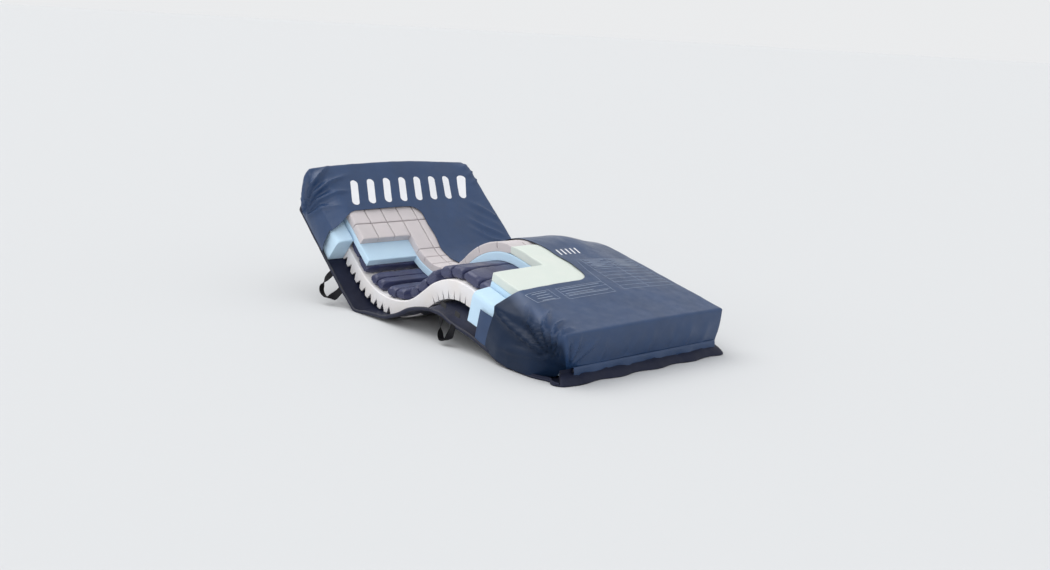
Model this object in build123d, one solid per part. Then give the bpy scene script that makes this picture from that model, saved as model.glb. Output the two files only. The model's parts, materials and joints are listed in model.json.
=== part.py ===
"""Hybrid foam and air pressure relief mattress, opened along one side, lying in a profiled position.

Frame: millimetres, +X from head to foot, +Y away from the opened side, +Z up. The origin is on the
underside of the seat section, at its middle, where the mattress rests on the bed's deck.

The mattress bends at five lines. Six stiff sections (back, hip, seat, thigh, knee, calf) follow each
other along a chain of pivots, and every continuous layer is divided at those lines. A section is
drawn in its own coordinates: s runs from its head-side pivot to its foot-side pivot, and h is the
height above the mattress's underside.
"""

import math
import os

from build123d import *

os.makedirs("parts", exist_ok=True)

# Driving dimensions of the whole mattress
WIDTH = 880.0
PIVOT_H = 60.0  # height of the bend lines, at the top of the slotted base foam

# Length of each section between its bend lines, and its slope down towards the foot, in degrees
BACK_L, HIP_L, SEAT_L, THIGH_L, KNEE_L, CALF_L = 565.0, 140.0, 187.0, 244.0, 140.0, 704.0
BACK_SLOPE, HIP_SLOPE, THIGH_SLOPE, KNEE_SLOPE = 41.0, 20.5, -31.5, -9.5

# Heights of the layers above the underside
FLOOR_T = 3.0
BASE_TOP = 74.0
CELL_TOP = 121.0
SUPPORT_TOP = 155.0
SURFACE_TOP = 190.0
COVER_T = 2.5
BOLSTER_IN_TOP = 136.0
BOLSTER_OUT_TOP = 128.0
ZIP_H = 46.0
LAYER_GAP = 0.3

# Across the width
HALF = WIDTH / 2
WALL_T = 2.5
CORE_HALF = 348.0  # half the width of the core between the side bolsters
BOLSTER_GAP = 4.0
GRID = 87.0  # pitch of the square cuts in the surface foam
CUT_W = 3.0
CUT_D = 24.0
STRIP_Y0 = -CORE_HALF + 3 * GRID  # inner edge of the foam strip that is left beside the window
COVER_Y0 = STRIP_Y0 + 1.4 * GRID  # edge of the top cover beside the window

# Where the layers are cut back to show what lies under them
SURFACE_CUT_BACK = 428.0
SUPPORT_CUT_BACK = 535.0
COVER_CUT_BACK = 267.0
COVER_HEM_BACK = 228.0
BOLSTER_CUT_BACK = 385.0
LEG_CUT_CALF = 173.0
COVER_CUT_CALF = 345.0
COVER_HEM_CALF = 245.0
COVER_STEP_H = 86.0

# Extra bend beyond the drawn position that each line allows, in degrees
HIP_EXTRA, LAP_EXTRA, KNEE_EXTRA = 12.0, 7.0, 4.0
JOINT_GAP = 0.5

END_BLOCK_HEAD = 120.0
END_BLOCK_FOOT = 150.0
END_CLEAR = 3.0
SEWN_GAP = 0.5  # clearance between the covers and what is sewn on to them

# Zip, its rain flap and its slider
ZIP_OUT = 4.0
ZIP_BELOW, ZIP_ABOVE = 14.0, 8.0
SLIDER_Y, SLIDER_H = -260.0, ZIP_H - 22.0
SLIDER_W, SLIDER_L, SLIDER_T = 16.0, 10.0, 6.0
PULL_W, PULL_T, PULL_REACH = 8.0, 2.0, 26.0

# Webbing tab at the far foot corner
CORNER_STRAP_W, CORNER_STRAP_END = 60.0, 8.0
CORNER_STRAP_REACH, CORNER_STRAP_TOP = 30.0, 36.0

# Webbing handles, sewn under the edge
WEB_W = 30.0
WEB_T = 2.5
HANDLE_SPAN = 110.0
HANDLE_DROP = 92.0
SAGGING_DROP = 130.0  # the near calf loop, whose edge sags when the side is open
HANDLE_OUT = 4.0  # how far the loops stand off the side of the mattress
HANDLE_PIVOT_H = 5.0
HELD_OUT = 20.0  # degrees
PATCH_T = 2.0
PATCH_LOW, PATCH_TOP = 1.0, 21.0
PATCH_W = WEB_W + 4.0  # room that a tab needs along the edge


def calf_slope():
    """Slope that puts the underside of the foot end at the same height as the seat's."""
    x, z = 0.0, PIVOT_H
    for length, slope in ((THIGH_L, THIGH_SLOPE), (KNEE_L, KNEE_SLOPE)):
        x += length * math.cos(math.radians(slope))
        z -= length * math.sin(math.radians(slope))
    reach = math.hypot(CALF_L, PIVOT_H)
    return math.degrees(math.asin(z / reach) - math.atan2(PIVOT_H, CALF_L))


CALF_SLOPE = calf_slope()


class Section:
    """One stiff stretch of the mattress between two bend lines."""

    def __init__(self, name, length, slope, head_wedge, foot_wedge):
        self.name, self.length, self.slope = name, length, slope
        self.u = Vector(math.cos(math.radians(slope)), 0, -math.sin(math.radians(slope)))
        self.n = Vector(math.sin(math.radians(slope)), 0, math.cos(math.radians(slope)))
        self.head_wedge, self.foot_wedge = head_wedge, foot_wedge
        self.start = Vector(0, 0, PIVOT_H)

    def at(self, s, y, h):
        """The point at s along the section, y across and h above the underside."""
        return self.start + self.u * s + self.n * (h - PIVOT_H) + Vector(0, y, 0)

    def end(self):
        return self.start + self.u * self.length

    def inset(self, wedge, h):
        """How far an end face leans back at height h: wedge is (degrees above, degrees below)."""
        above, below = wedge
        if h >= PIVOT_H:
            return JOINT_GAP + (h - PIVOT_H) * math.tan(math.radians(above))
        return JOINT_GAP + (PIVOT_H - h) * math.tan(math.radians(below))

    def low(self, h):
        return 0.0 if self.head_wedge is None else self.inset(self.head_wedge, h)

    def high(self, h):
        return self.length if self.foot_wedge is None else self.length - self.inset(self.foot_wedge, h)

    def envelope(self, h0=-40.0, h1=260.0):
        """Everything that belongs between this section's two bend lines."""
        heights = [h0, PIVOT_H, h1] if h0 < PIVOT_H < h1 else [h0, h1]
        outline = [(self.low(h), h) for h in heights] + [(self.high(h), h) for h in reversed(heights)]
        return self.prism(outline, -HALF - 100, HALF + 100)

    def prism(self, outline, y0, y1):
        """A side outline of (s, h) points, carried across from y0 to y1."""
        points = [self.at(s, y0, h) for s, h in outline]
        face = Face(Wire.make_polygon(points, close=True))
        return Solid.extrude(face, Vector(0, y1 - y0, 0))

    def block(self, s0, s1, y0, y1, h0, h1):
        return self.prism([(s0, h0), (s1, h0), (s1, h1), (s0, h1)], y0, y1)

    def run(self, outline, s0, s1):
        """A cross-section of (y, h) points, carried along the section from s0 to s1."""
        face = Face(Wire.make_polygon([self.at(s0, y, h) for y, h in outline], close=True))
        return Solid.extrude(face, self.u * (s1 - s0))

    def slab(self, y0, y1, h0, h1, s0=None, s1=None):
        """A layer's stretch in this section, with its ends leaning as the bend lines need."""
        heights = [h0, PIVOT_H, h1] if h0 < PIVOT_H < h1 else [h0, h1]
        heads = [(self.low(h) if s0 is None else s0, h) for h in heights]
        feet = [(self.high(h) if s1 is None else s1, h) for h in heights]
        return self.prism(heads + feet[::-1], y0, y1)


def concave(bend, extra):
    """End face angles, above and below the pivot, at a line that folds the surface inwards."""
    return ((bend + extra) / 2, 0.0)


def convex(bend, extra):
    """End face angles, above and below the pivot, at a line that arches the surface."""
    return (0.0, (bend + extra) / 2)


HIP_WEDGE = concave(HIP_SLOPE, HIP_EXTRA)
LAP_WEDGE = concave(-THIGH_SLOPE, LAP_EXTRA)
THIGH_KNEE_WEDGE = convex(KNEE_SLOPE - THIGH_SLOPE, KNEE_EXTRA)
KNEE_CALF_WEDGE = convex(CALF_SLOPE - KNEE_SLOPE, KNEE_EXTRA)

back = Section("back", BACK_L, BACK_SLOPE, None, HIP_WEDGE)
hip = Section("hip", HIP_L, HIP_SLOPE, HIP_WEDGE, HIP_WEDGE)
seat = Section("seat", SEAT_L, 0.0, HIP_WEDGE, LAP_WEDGE)
thigh = Section("thigh", THIGH_L, THIGH_SLOPE, LAP_WEDGE, THIGH_KNEE_WEDGE)
knee = Section("knee", KNEE_L, KNEE_SLOPE, THIGH_KNEE_WEDGE, KNEE_CALF_WEDGE)
calf = Section("calf", CALF_L, CALF_SLOPE, KNEE_CALF_WEDGE, None)
SECTIONS = [back, hip, seat, thigh, knee, calf]

# Chain the sections on their pivots, from the seat outwards
seat.start = Vector(-SEAT_L / 2, 0, PIVOT_H)
hip.start = seat.start - hip.u * hip.length
back.start = hip.start - back.u * back.length
thigh.start = seat.end()
knee.start = thigh.end()
calf.start = knee.end()


def save(name, shape):
    solids = list(shape) if isinstance(shape, (list, tuple)) else shape.solids()
    export_step(solids[0] if len(solids) == 1 else Compound(children=solids), f"parts/{name}.step")


def base_cover(sec):
    """Coated floor panel with a low turned-up wall, taller wherever the top cover zips on to it."""
    s0 = 0.0 if sec.head_wedge is None else None
    s1 = sec.length if sec.foot_wedge is None else None
    shape = sec.slab(-HALF, HALF, 0, FLOOR_T, s0, s1)
    shape += sec.slab(HALF - WALL_T, HALF, FLOOR_T, ZIP_H - 4, s0, s1)
    lip_top = 14.0
    if sec is back:
        shape += sec.block(0, WALL_T, -HALF, HALF, FLOOR_T, ZIP_H - 4)
        shape += sec.block(0, COVER_HEM_BACK, -HALF, -HALF + WALL_T, FLOOR_T, ZIP_H - 4)
        shape += sec.slab(-HALF, -HALF + WALL_T, FLOOR_T, lip_top, COVER_HEM_BACK, None)
    elif sec is calf:
        shape += sec.block(CALF_L - WALL_T, CALF_L, -HALF, HALF, FLOOR_T, ZIP_H - 4)
        shape += sec.block(COVER_HEM_CALF, CALF_L, -HALF, -HALF + WALL_T, FLOOR_T, ZIP_H - 4)
        shape += sec.slab(-HALF, -HALF + WALL_T, FLOOR_T, lip_top, None, COVER_HEM_CALF)
    else:
        shape += sec.slab(-HALF, -HALF + WALL_T, FLOOR_T, lip_top)
    return shape


SLOT_PITCH = 46.0
SLOT_DEPTH = 34.0
SLOT_MOUTH = 12.0


def slots(sec, first, last):
    """V-shaped profiling slots across the underside of the base foam, from s = first to last."""
    count = max(1, round((last - first) / SLOT_PITCH))
    tools = []
    for i in range(count):
        s = first + (last - first) * (i + 0.5) / count
        mouth = [(s - SLOT_MOUTH / 2, -5), (s + SLOT_MOUTH / 2, -5), (s, FLOOR_T + SLOT_DEPTH)]
        tools.append(sec.prism(mouth, -CORE_HALF - 5, CORE_HALF + 5))
    return tools


SLOTTED = {
    "back": (330.0, 555.0),
    "hip": (8.0, 132.0),
    "seat": (10.0, 60.0),
    "thigh": (170.0, 234.0),
    "knee": (14.0, 126.0),
    "calf": (20.0, 120.0),
}


def base_foam(sec):
    """Firm white base layer, slotted from below where the mattress bends."""
    s0 = END_CLEAR if sec.head_wedge is None else None
    s1 = sec.length - END_CLEAR if sec.foot_wedge is None else None
    shape = sec.slab(-CORE_HALF, CORE_HALF, FLOOR_T + LAYER_GAP, BASE_TOP, s0, s1)
    for tool in slots(sec, *SLOTTED[sec.name]):
        shape -= tool
    return shape


CELL_GAP = 3.0
CELL_ROUND = 0.42  # corner radius of a cell, as a share of its height
CELL_INSET_Y = 8.0
CELLS = {"back": 5, "hip": 2, "seat": 2, "thigh": 3, "knee": 2, "calf": 6}


def air_cells(sec):
    """Closed air cells lying across the core, side by side, flattened by the layers above."""
    h0, h1 = BASE_TOP + LAYER_GAP, CELL_TOP - LAYER_GAP
    lo = max(sec.low(h0), sec.low(h1)) + CELL_GAP / 2
    hi = min(sec.high(h0), sec.high(h1)) - CELL_GAP / 2
    if sec is back:
        lo = END_BLOCK_HEAD + 2 * END_CLEAR
    if sec is calf:
        hi = CALF_L - END_BLOCK_FOOT - 2 * END_CLEAR
    count = CELLS[sec.name]
    pitch = (hi - lo) / count
    radius = CELL_ROUND * (h1 - h0)
    cells = []
    for i in range(count):
        a, b = lo + i * pitch + CELL_GAP / 2, lo + (i + 1) * pitch - CELL_GAP / 2
        cell = sec.block(a, b, -CORE_HALF + CELL_INSET_Y, CORE_HALF - CELL_INSET_Y, h0, h1)
        across = cell.edges().filter_by(Axis.Y)
        cells.append(cell.fillet(radius, across))
    return cells


def support_foam(sec):
    """Blue foam layer over the cells, cut back beside the window."""
    h0, h1 = CELL_TOP, SUPPORT_TOP
    s0 = END_CLEAR if sec.head_wedge is None else None
    s1 = sec.length - END_CLEAR if sec.foot_wedge is None else None
    shape = sec.slab(STRIP_Y0, CORE_HALF, h0, h1, s0, s1)
    if sec is back:
        shape += sec.block(END_CLEAR, SUPPORT_CUT_BACK, -CORE_HALF, STRIP_Y0, h0, h1)
    if sec is calf:
        shape += sec.block(LEG_CUT_CALF, CALF_L - END_CLEAR, -CORE_HALF, STRIP_Y0, h0, h1)
    return shape


def grid_cuts(sec, s0, s1, y0, y1):
    """Narrow square-grid cuts from above that let the surface foam mould to the body."""
    h = SURFACE_TOP - CUT_D
    tools = []
    count = round(2 * CORE_HALF / GRID)
    for i in range(1, count):
        y = -CORE_HALF + i * GRID
        if y0 + CUT_W < y < y1 - CUT_W:
            tools.append(sec.block(s0 - 60, s1 + 60, y - CUT_W / 2, y + CUT_W / 2, h, SURFACE_TOP + 5))
    rows = max(1, round((s1 - s0) / GRID))
    for i in range(1, rows):
        s = s1 - i * GRID if sec is back else s0 + (s1 - s0) * i / rows
        if s > s0 + CUT_W:
            tools.append(sec.block(s - CUT_W / 2, s + CUT_W / 2, y0 - 5, y1 + 5, h, SURFACE_TOP + 5))
    return tools


def surface_foam(sec):
    """Grid-cut grey foam that carries the body from the head to the knee ridge."""
    h0, h1 = SUPPORT_TOP + LAYER_GAP, SURFACE_TOP
    s0 = END_CLEAR if sec.head_wedge is None else None
    shape = sec.slab(STRIP_Y0, CORE_HALF, h0, h1, s0, None)
    if sec is back:
        shape += sec.block(END_CLEAR, SURFACE_CUT_BACK, -CORE_HALF, STRIP_Y0, h0, h1)
        for tool in grid_cuts(sec, END_CLEAR, SURFACE_CUT_BACK, -CORE_HALF, CORE_HALF):
            shape -= tool
        return shape
    for tool in grid_cuts(sec, 0.0, sec.length, STRIP_Y0, CORE_HALF):
        shape -= tool
    return shape


def heel_foam():
    """Smooth soft green foam under the lower legs and heels."""
    h0, h1 = SUPPORT_TOP + LAYER_GAP, SURFACE_TOP
    shape = calf.slab(STRIP_Y0, CORE_HALF, h0, h1, None, CALF_L - END_CLEAR)
    shape += calf.block(LEG_CUT_CALF, CALF_L - END_CLEAR, -CORE_HALF, STRIP_Y0, h0, h1)
    return shape


def bolster_outline(side):
    inner, outer = CORE_HALF + BOLSTER_GAP, HALF - WALL_T - 1.0
    points = [
        (inner, FLOOR_T + LAYER_GAP),
        (outer, FLOOR_T + LAYER_GAP),
        (outer, BOLSTER_OUT_TOP),
        (inner, BOLSTER_IN_TOP),
    ]
    return [(side * y, h) for y, h in points]


def far_bolster(sec):
    """Firm blue side bolster along the closed side."""
    s0 = END_CLEAR if sec.head_wedge is None else -60.0
    s1 = sec.length - END_CLEAR if sec.foot_wedge is None else sec.length + 60.0
    return sec.run(bolster_outline(1), s0, s1) & sec.envelope()


def cover_outline():
    """Cross-section of the top cover's skin: a flat middle, sloping shoulders and upright sides."""
    shoulder, top = BOLSTER_OUT_TOP + 10.0, SURFACE_TOP + 1.0
    outside = [
        (HALF, ZIP_H),
        (HALF, shoulder),
        (CORE_HALF + 6, top + COVER_T),
        (-CORE_HALF - 6, top + COVER_T),
        (-HALF, shoulder),
        (-HALF, ZIP_H),
    ]
    inside = [
        (-HALF + WALL_T, ZIP_H),
        (-HALF + WALL_T, shoulder - 1.0),
        (-CORE_HALF - 5, top),
        (CORE_HALF + 5, top),
        (HALF - WALL_T, shoulder - 1.0),
        (HALF - WALL_T, ZIP_H),
    ]
    return outside + inside


def cover_end_outline():
    """The top cover's closed end, inside its skin."""
    return cover_outline()[6:]


def top_cover(sec):
    """Stretch cover over everything; the window leaves only its far part between the two cuts."""
    far_only = sec.block(-80, sec.length + 80, COVER_Y0, HALF + 20, ZIP_H - 10, SURFACE_TOP + 30)
    if sec is back:
        skin = sec.run(cover_outline(), 0, BACK_L + 80)
        skin += sec.run(cover_end_outline(), 0, COVER_T)
        near = [
            (-5, 0),
            (COVER_HEM_BACK, 0),
            (COVER_CUT_BACK, BOLSTER_OUT_TOP),
            (COVER_CUT_BACK, 260),
            (-5, 260),
        ]
        keep = sec.prism(near, -HALF - 20, COVER_Y0 + 1) + far_only
    elif sec is calf:
        skin = sec.run(cover_outline(), -80, CALF_L)
        skin += sec.run(cover_end_outline(), CALF_L - COVER_T, CALF_L)
        near = [
            (CALF_L + 5, 0),
            (COVER_HEM_CALF, 0),
            (COVER_HEM_CALF, COVER_STEP_H),
            (COVER_CUT_CALF, COVER_STEP_H),
            (COVER_CUT_CALF, 260),
            (CALF_L + 5, 260),
        ]
        keep = sec.prism(near, -HALF - 20, COVER_Y0 + 1) + far_only
    else:
        skin = sec.run(cover_outline(), -80, sec.length + 80)
        keep = far_only
    return skin & keep & sec.envelope()


def end_block(sec):
    """Blue foam block that closes the row of air cells at the head or the foot."""
    h0, h1 = BASE_TOP + LAYER_GAP, CELL_TOP - LAYER_GAP
    if sec is back:
        return sec.block(END_CLEAR, END_CLEAR + END_BLOCK_HEAD, -CORE_HALF, CORE_HALF, h0, h1)
    foot = CALF_L - END_CLEAR
    return sec.block(foot - END_BLOCK_FOOT, foot, -CORE_HALF, CORE_HALF, h0, h1)


def zip_band(sec, hem):
    """Zip tape and its rain flap, round the end and along the near side as far as the hem."""
    y_out, y_in = HALF + ZIP_OUT, HALF + SEWN_GAP
    h0, h1 = ZIP_H - ZIP_BELOW, ZIP_H + ZIP_ABOVE
    if sec is calf:
        band = sec.block(CALF_L + SEWN_GAP, CALF_L + ZIP_OUT, -y_out, y_out, h0, h1)
        return band + sec.block(hem, CALF_L + ZIP_OUT, -y_out, -y_in, h0, h1)
    band = sec.block(-ZIP_OUT, -SEWN_GAP, -y_out, y_out, h0, h1)
    return band + sec.block(-ZIP_OUT, hem, -y_out, -y_in, h0, h1)


def zip_slider():
    """Zip slider with its pull, on the foot end just under the flap."""
    y, h = SLIDER_Y, SLIDER_H
    s = CALF_L + 1.0
    body = calf.block(s, s + SLIDER_T, y - SLIDER_W / 2, y + SLIDER_W / 2, h - SLIDER_L / 2, h + SLIDER_L / 2)
    pull_s = s + (SLIDER_T - PULL_T) / 2
    pull = calf.block(pull_s, pull_s + PULL_T, y - PULL_W / 2, y + PULL_W / 2, h - PULL_REACH, h)
    return body + pull


def handle(sec, s_mid, side, drop, lift):
    """Webbing loop hinged on the lower edge; lift is how far it's held out from hanging."""
    y = side * (HALF + HANDLE_OUT)

    def loop(half, depth):
        turns = [math.pi * i / 8 for i in range(9)]
        points = [sec.at(s_mid - half * math.cos(t), y, -1.0 - depth * math.sin(t)) for t in turns]
        return Edge.make_spline(points)

    outer = loop(HANDLE_SPAN / 2, drop)
    inner = loop(HANDLE_SPAN / 2 - WEB_T, drop - WEB_T)
    ends = [Edge.make_line(outer @ i, inner @ i) for i in (0, 1)]
    band = Solid.extrude(Face(Wire([outer, ends[1], inner, ends[0]])), Vector(0, side * WEB_W, 0))
    pivot = Axis(sec.at(s_mid, y, HANDLE_PIVOT_H), sec.u * side)
    return band.rotate(pivot, lift)


def handle_patches(sec, s_mid, side):
    """Two sewn tabs that tie a handle to the base cover's edge."""
    y0, y1 = HALF + SEWN_GAP, HALF + SEWN_GAP + PATCH_T
    if side < 0:
        y0, y1 = -y1, -y0
    tabs = []
    for s in (s_mid - HANDLE_SPAN / 2, s_mid + HANDLE_SPAN / 2):
        s = max(s, sec.low(0) + PATCH_W / 2, sec.low(PATCH_TOP) + PATCH_W / 2)
        s = min(s, sec.high(0) - PATCH_W / 2, sec.high(PATCH_TOP) - PATCH_W / 2)
        tabs.append(sec.block(s - WEB_W / 2, s + WEB_W / 2, y0, y1, PATCH_LOW, PATCH_TOP))
    return tabs


def corner_strap():
    """Short webbing tab sewn to the lower edge at the far foot corner, hanging clear of the side."""
    s1 = CALF_L - CORNER_STRAP_END
    inner, reach = HALF + SEWN_GAP, HALF + CORNER_STRAP_REACH
    top, foot = CORNER_STRAP_TOP, FLOOR_T
    outline = [(inner, top), (inner + 3.5, top), (reach, foot), (reach - 4.0, foot), (inner, top - 6.0)]
    return calf.run(outline, s1 - CORNER_STRAP_W, s1)


for sec in SECTIONS:
    save(f"base_cover_{sec.name}", base_cover(sec))
    save(f"base_foam_{sec.name}", base_foam(sec))
    save(f"air_cells_{sec.name}", air_cells(sec))
    save(f"support_foam_{sec.name}", support_foam(sec))
    save(f"far_bolster_{sec.name}", far_bolster(sec))
    save(f"top_cover_{sec.name}", top_cover(sec))
    if sec is not calf:
        save(f"surface_foam_{sec.name}", surface_foam(sec))

save("near_bolster_head", back.run(bolster_outline(-1), END_CLEAR, BOLSTER_CUT_BACK))
save("near_bolster_foot", calf.run(bolster_outline(-1), LEG_CUT_CALF, CALF_L - END_CLEAR))
save("heel_foam", heel_foam())
save("head_end_block", end_block(back))
save("foot_end_block", end_block(calf))
save("zip_band_head", zip_band(back, COVER_HEM_BACK))
save("zip_band_foot", zip_band(calf, COVER_HEM_CALF))
save("zip_slider", zip_slider())
save("corner_strap", corner_strap())

HANDLES = {"back": (back, BACK_L - 60.0), "calf": (calf, 66.0)}
for name, (sec, s_mid) in HANDLES.items():
    for side, word in ((-1, "near"), (1, "far")):
        lift = HELD_OUT if (name, word) == ("back", "near") else 0.0
        drop = SAGGING_DROP if (name, word) == ("calf", "near") else HANDLE_DROP
        save(f"handle_{word}_{name}", handle(sec, s_mid, side, drop, lift))
    save(f"handle_patches_{name}", handle_patches(sec, s_mid, -1) + handle_patches(sec, s_mid, 1))

for sec in SECTIONS:
    print(f"{sec.name}: slope {sec.slope:.3f}, pivot x {sec.start.X:.2f}, z {sec.start.Z:.2f}")
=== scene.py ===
"""Pressure relief mattress, cut open along one side. Metres, in the CAD's frame.

Every layer is drawn along the mattress's spine: s is the distance from the head end, y the place
across, h the height above the underside. The spine runs straight in each section and turns in an
arc at each bend line. A layer that crosses bend lines is one surface, cut in the middle of each
section into spans, each made as an object of its own.
"""

import json
import math

import bpy
import numpy as np
from mathutils import Matrix, Vector

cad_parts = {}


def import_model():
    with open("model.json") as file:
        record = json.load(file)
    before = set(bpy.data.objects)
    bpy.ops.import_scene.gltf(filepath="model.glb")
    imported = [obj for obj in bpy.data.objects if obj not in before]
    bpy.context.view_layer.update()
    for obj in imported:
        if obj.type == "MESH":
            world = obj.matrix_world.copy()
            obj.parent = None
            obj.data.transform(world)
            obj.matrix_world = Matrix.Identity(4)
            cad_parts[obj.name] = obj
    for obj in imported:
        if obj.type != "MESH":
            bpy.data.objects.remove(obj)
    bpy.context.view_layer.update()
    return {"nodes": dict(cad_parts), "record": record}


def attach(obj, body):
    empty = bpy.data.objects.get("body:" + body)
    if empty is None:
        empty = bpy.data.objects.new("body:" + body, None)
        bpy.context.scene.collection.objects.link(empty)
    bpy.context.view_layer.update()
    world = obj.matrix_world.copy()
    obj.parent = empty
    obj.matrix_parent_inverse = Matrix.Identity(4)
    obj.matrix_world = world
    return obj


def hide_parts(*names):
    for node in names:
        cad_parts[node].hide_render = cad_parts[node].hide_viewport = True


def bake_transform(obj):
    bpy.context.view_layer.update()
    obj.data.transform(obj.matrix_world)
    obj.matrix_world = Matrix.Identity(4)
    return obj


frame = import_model()
record = frame["record"]
joints = {j["name"]: j for j in record["behaviour"]["joints"]}
mounts = {m["name"]: m for m in record["mounts"]}

# ---------------------------------------------------------------- driving dimensions

WIDTH = 0.88
HALF = WIDTH / 2
BACK_L, CALF_L = 0.565, 0.704
PIVOT_H = 0.060
BASE_TOP, CELL_TOP, SUPPORT_TOP, SURFACE_TOP = 0.074, 0.121, 0.155, 0.190
CORE = 0.348  # half the width of the foam between the side bolsters
GRID, CUT_D = 0.087, 0.024
STRIP_Y = -CORE + 3 * GRID
COVER_Y = STRIP_Y + 1.4 * GRID
SHOULDER_H, ZIP_H = 0.138, 0.046
CLOTH_T = 0.002
HEAD_TUCK = 0.075  # how far the soft head end sags in below its top edge

BENDS = ["back_bend", "hip_bend", "lap_bend", "knee_bend", "calf_bend"]
BODIES = ["back", "hip", "seat", "thigh", "knee", "calf"]
TURN_REACH = [0.066, 0.066, 0.095, 0.066, 0.066]  # how far each arc reaches on both sides of its bend line


def smooth(t):
    t = np.clip(t, 0, 1)
    return t * t * (3 - 2 * t)


# ---------------------------------------------------------------- the spine

def heading(mount):
    """Direction in which a section runs, in the XZ plane, from the axis of its underside."""
    x, _, z = mounts[mount]["axis"]
    return math.atan2(x, -z)


pivots = [np.array([joints[b]["pos_m"][0], joints[b]["pos_m"][2]]) for b in BENDS]


def along(angle):
    return np.array([math.cos(angle), math.sin(angle)])


head_point = pivots[0] - BACK_L * along(heading("back_underside"))
foot_point = pivots[-1] + CALF_L * along(heading("calf_underside"))
chain = np.array([head_point, *pivots, foot_point])
steps = np.diff(chain, axis=0)
angles = np.arctan2(steps[:, 1], steps[:, 0])
station = np.concatenate([[0], np.cumsum(np.hypot(steps[:, 0], steps[:, 1]))])
LENGTH = float(station[-1])
middles = [(station[i] + station[i + 1]) / 2 for i in range(1, 5)]
S_BACK_END, S_CALF = station[1], station[5]


def spine(s):
    """Point and heading of the spine at distance s from the head."""
    s = np.asarray(s, float)
    i = np.clip(np.searchsorted(station, s, side="right") - 1, 0, len(steps) - 1)
    head = angles[i]
    point = chain[i] + (s - station[i])[..., None] * np.stack([np.cos(head), np.sin(head)], -1)
    for k, reach in enumerate(TURN_REACH, start=1):
        turn = angles[k] - angles[k - 1]
        t = (s - station[k]) / reach
        near = np.abs(t) < 1
        side = math.copysign(1, turn)
        radius = reach / math.tan(abs(turn) / 2)
        start = chain[k] - reach * along(angles[k - 1])
        centre = start + side * radius * along(angles[k - 1] + math.pi / 2)
        a = angles[k - 1] + turn * (t + 1) / 2
        arc = centre + side * radius * np.stack([np.sin(a), -np.cos(a)], -1)
        point = np.where(near[..., None], arc, point)
        head = np.where(near, a, head)
    return point, head


def raised(s, y, h):
    """How much the stack swells over the knee and, more gently, over the calf."""
    part = np.clip(h / SURFACE_TOP, 0, 1.1)
    knee = np.exp(-(((s - 1.21) / 0.20) ** 2)) * (1 - smooth((y - 0.22) / 0.22))
    calf = smooth((s - 1.30) / 0.2) * smooth((LENGTH - 0.03 - s) / 0.35) * (1 - (y / HALF) ** 2)
    return knee * (0.010 + 0.028 * part) + 0.018 * calf * part


def place(s, y, h):
    """Row-frame points from the mattress's own coordinates."""
    s, y, h = np.broadcast_arrays(np.asarray(s, float), y, h)
    tuck = HEAD_TUCK * smooth((0.16 - s) / 0.16) * np.clip(1 - h / SHOULDER_H, 0, 1.1)
    s = s + tuck
    point, head = spine(s)
    lift = h + raised(s, y, h) - PIVOT_H
    return np.stack([point[..., 0] - np.sin(head) * lift, y, point[..., 1] + np.cos(head) * lift], -1)


# ---------------------------------------------------------------- mesh tools

def vertex_normals(co, faces):
    """Area-weighted normals."""
    total = np.zeros_like(co)
    for size in sorted({len(f) for f in faces}):
        block = np.array([f for f in faces if len(f) == size])
        p = co[block]
        normal = np.cross(p[:, 1] - p[:, 0], p[:, 2] - p[:, 0])
        for k in range(2, size - 1):
            normal += np.cross(p[:, k] - p[:, 0], p[:, k + 1] - p[:, 0])
        for k in range(size):
            np.add.at(total, block[:, k], normal)
    norm = np.linalg.norm(total, axis=1)
    return total / np.maximum(norm, 1e-12)[:, None]


def new_object(name, co, faces, uv, normals, mat):
    mesh = bpy.data.meshes.new(name)
    mesh.from_pydata([tuple(c) for c in co], [], [tuple(f) for f in faces])
    layer = mesh.uv_layers.new(name="UVMap")
    loop_vertex = np.zeros(len(mesh.loops), int)
    mesh.loops.foreach_get("vertex_index", loop_vertex)
    layer.data.foreach_set("uv", np.asarray(uv, float)[loop_vertex].ravel())
    mesh.polygons.foreach_set("use_smooth", [True] * len(mesh.polygons))
    mesh.normals_split_custom_set_from_vertices([tuple(n) for n in normals])
    mesh.materials.append(mat)
    obj = bpy.data.objects.new(name, mesh)
    bpy.context.scene.collection.objects.link(obj)
    return obj


def part_of(co, faces, uv, normals, chosen):
    """The chosen faces with only the vertices that they use."""
    picked = [faces[i] for i in chosen]
    used = np.unique(np.concatenate([np.array(f) for f in picked]))
    renumber = np.full(len(co), -1)
    renumber[used] = np.arange(len(used))
    return co[used], [renumber[np.array(f)] for f in picked], uv[used], normals[used]


BLEND_REACH = [0.045, 0.045, 0.055, 0.05, 0.05]


def bend_with(obj, k):
    """Bakes obj's transform into its mesh. The ends of the blend at the k-th bend line, between the two
    sections that it joins, are worked out but not used.
    """
    ends = place(np.array([station[k + 1] - BLEND_REACH[k], station[k + 1] + BLEND_REACH[k]]), 0.0, PIVOT_H)
    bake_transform(obj)


def tube_faces(rings, around):
    """Faces of a tube whose vertices come ring by ring."""
    turns = [(i, (i + 1) % around) for i in range(around)]
    return [[k * around + i, k * around + j, (k + 1) * around + j, (k + 1) * around + i]
            for k in range(rings - 1) for i, j in turns]


def capped(faces, rings, around):
    """A tube's faces with both its ends closed."""
    last = (rings - 1) * around
    return [*faces, list(range(around - 1, -1, -1)), [last + i for i in range(around)]]


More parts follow.
